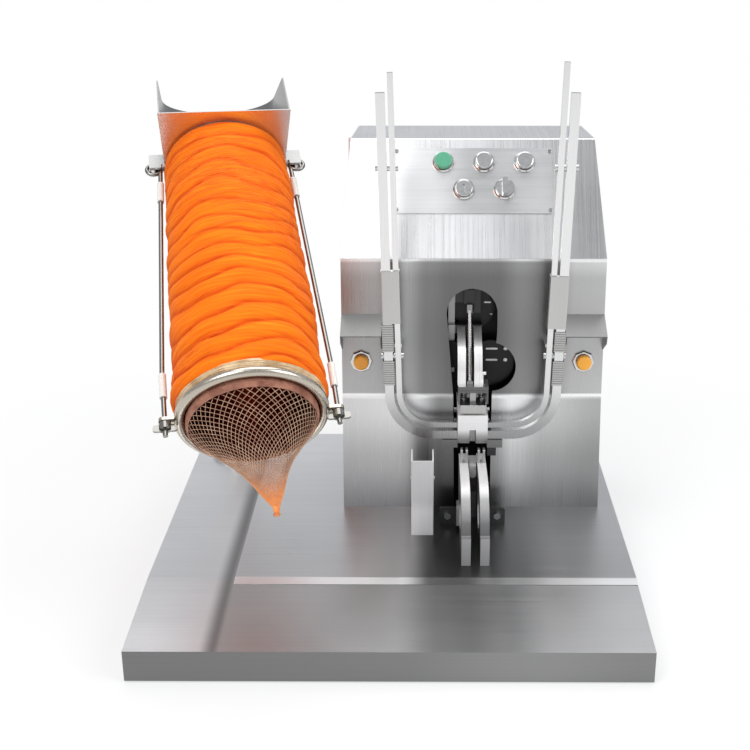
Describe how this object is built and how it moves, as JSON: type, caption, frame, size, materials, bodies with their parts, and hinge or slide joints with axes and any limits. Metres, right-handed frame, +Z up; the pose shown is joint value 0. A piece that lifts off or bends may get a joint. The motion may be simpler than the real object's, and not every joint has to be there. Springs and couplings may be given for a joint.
{
  "type": "bag clipping machine",
  "caption": "Bench machine that feeds net from a sloping tube to a cam-driven head, which closes a wire clip round the gathered neck of the bag.",
  "frame": {"origin": "middle of the base's footprint, at the underside of the middle foot on the bench", "axes": "+X to the operator's right, +Y away from the operator, +Z up"},
  "size_m": [0.6456, 0.641, 0.6761],
  "materials": {
    "grey_paint": "semi-gloss paint",
    "stainless_sheet": "brushed",
    "bright_steel": "polished",
    "machined_steel": "machined",
    "dark_steel": "blackened",
    "cast_aluminium": "cast",
    "black_plastic": "matt",
    "white_plastic": "matt",
    "green_lens": "glossy",
    "orange_cap": "glossy",
    "black_rubber": "matt",
    "orange_net": "knitted net",
    "beige_net": "knotted net",
    "spring_steel": "drawn wire",
    "brass_wire": "flat wire"
  },
  "bodies": {
    "machine_frame": {"base_shell": "stainless_sheet", "tray_plate": "stainless_sheet", "base_channels": "stainless_sheet", "rubber_feet": "black_rubber", "cabinet_shell": "stainless_sheet", "rear_cover": "stainless_sheet", "small_screws": "bright_steel", "cable_gland": "black_plastic", "fixing_angles": "stainless_sheet", "frame_bolts": "bright_steel", "control_panel": "stainless_sheet", "button_bezels": "bright_steel", "switch_blocks": "black_plastic", "button_hoods": "stainless_sheet", "clip_rail_left": "machined_steel", "clip_rail_right": "machined_steel", "clip_sticks": "brass_wire", "rail_fasteners": "bright_steel", "head_block": "machined_steel", "head_cap_plate": "machined_steel", "ram_pins": "bright_steel", "head_side_bars": "machined_steel", "ram_springs": "spring_steel", "drive_frame": "machined_steel", "shaft_bearings": "bright_steel", "gearmotor": "cast_aluminium", "jaw_plates": "machined_steel", "clip_die": "bright_steel", "guide_fingers": "bright_steel", "switch_box_cover": "stainless_sheet", "position_sensors": "black_plastic", "net_tube": "stainless_sheet", "hopper": "stainless_sheet", "tie_rods": "bright_steel", "rod_sleeves": "white_plastic", "net_sleeve": "orange_net", "net_tail": "beige_net", "tube_stand": "stainless_sheet"},
    "green_button_body": {"green_button": "green_lens"},
    "round_button_left_body": {"round_button_left": "bright_steel"},
    "round_button_right_body": {"round_button_right": "bright_steel"},
    "key_body": {"key_switch": "bright_steel"},
    "selector_body": {"selector_knob": "black_plastic"},
    "start_button_left_body": {"start_button_left": "orange_cap"},
    "start_button_right_body": {"start_button_right": "orange_cap"},
    "left_weight": {"clip_weight_left": "bright_steel"},
    "right_weight": {"clip_weight_right": "bright_steel"},
    "ram": {"crosshead": "machined_steel", "punch": "machined_steel", "press_arms": "machined_steel", "adjusting_rod": "bright_steel", "ram_carriage": "machined_steel"},
    "roller": {"cam_roller": "dark_steel"},
    "cam": {"press_cam": "dark_steel", "cam_gear_shaft": "dark_steel"},
    "timing": {"timing_disc": "dark_steel", "timing_gear_shaft": "dark_steel"},
    "ring": {"mouth_ring": "bright_steel"},
    "left_nut": {"wing_nut_left": "bright_steel"},
    "right_nut": {"wing_nut_right": "bright_steel"}
  },
  "joints": [
    {"name": "green_button_press", "type": "slide", "parent": "machine_frame", "child": "green_button_body", "axis": [0, 0.8451, -0.5346], "range_m": [0, 0.004], "stiffness_N_per_m": 400, "springref_m": -0.002},
    {"name": "round_button_left_press", "type": "slide", "parent": "machine_frame", "child": "round_button_left_body", "axis": [0, 0.8451, -0.5346], "range_m": [0, 0.004], "stiffness_N_per_m": 400, "springref_m": -0.002},
    {"name": "round_button_right_press", "type": "slide", "parent": "machine_frame", "child": "round_button_right_body", "axis": [0, 0.8451, -0.5346], "range_m": [0, 0.004], "stiffness_N_per_m": 400, "springref_m": -0.002},
    {"name": "key_turn", "type": "hinge", "parent": "machine_frame", "child": "key_body", "pos_m": [0.095, 0.13466, 0.49324], "axis": [0, 0.8451, -0.5346], "range_deg": [0, 90]},
    {"name": "selector_turn", "type": "hinge", "parent": "machine_frame", "child": "selector_body", "pos_m": [0.151, 0.13466, 0.49324], "axis": [0, 0.8451, -0.5346], "range_deg": [0, 90]},
    {"name": "start_button_left_press", "type": "slide", "parent": "machine_frame", "child": "start_button_left_body", "axis": [0, 0.9978, -0.0665], "range_m": [0, 0.004], "stiffness_N_per_m": 400, "springref_m": -0.002},
    {"name": "start_button_right_press", "type": "slide", "parent": "machine_frame", "child": "start_button_right_body", "axis": [0, 0.9978, -0.0665], "range_m": [0, 0.004], "stiffness_N_per_m": 400, "springref_m": -0.002},
    {"name": "left_weight_slide", "type": "slide", "parent": "machine_frame", "child": "left_weight", "axis": [-0.024, 0, 0.9997], "range_m": [0, 0.125]},
    {"name": "right_weight_slide", "type": "slide", "parent": "machine_frame", "child": "right_weight", "axis": [0.024, 0, 0.9997], "range_m": [0, 0.125]},
    {"name": "cam_turn", "type": "hinge", "parent": "machine_frame", "child": "cam", "pos_m": [0.107, 0.104, 0.3335], "axis": [0, 1, 0], "range_deg": [0, 180]},
    {"name": "ram_slide", "type": "slide", "parent": "machine_frame", "child": "ram", "axis": [0, 0, -1], "range_m": [0, 0.012], "stiffness_N_per_m": 2000, "springref_m": -0.01, "deforming": ["ram_springs"]},
    {"name": "timing_turn", "type": "hinge", "parent": "machine_frame", "child": "timing", "pos_m": [0.1336, 0.091, 0.25805], "axis": [0, 1, 0], "range_deg": [-180, 0]},
    {"name": "roller_turn", "type": "hinge", "parent": "ram", "child": "roller", "pos_m": [0.107, 0.104, 0.3032], "axis": [0, 1, 0], "continuous": true},
    {"name": "ring_slide", "type": "slide", "parent": "machine_frame", "child": "ring", "axis": [0.1678, -0.8246, -0.5402], "range_m": [0, 0.008]},
    {"name": "left_nut_turn", "type": "hinge", "parent": "ring", "child": "left_nut", "pos_m": [-0.25649, -0.24094, 0.303], "axis": [0.1678, -0.8246, -0.5402], "continuous": true},
    {"name": "right_nut_turn", "type": "hinge", "parent": "ring", "child": "right_nut", "pos_m": [-0.06051, -0.20106, 0.303], "axis": [0.1678, -0.8246, -0.5402], "continuous": true}
  ],
  "couplings": [
    {"joint": "ram_slide", "follows": "cam_turn", "m_per_rad": 0.0038197},
    {"joint": "timing_turn", "follows": "cam_turn", "ratio": -1}
  ]
}
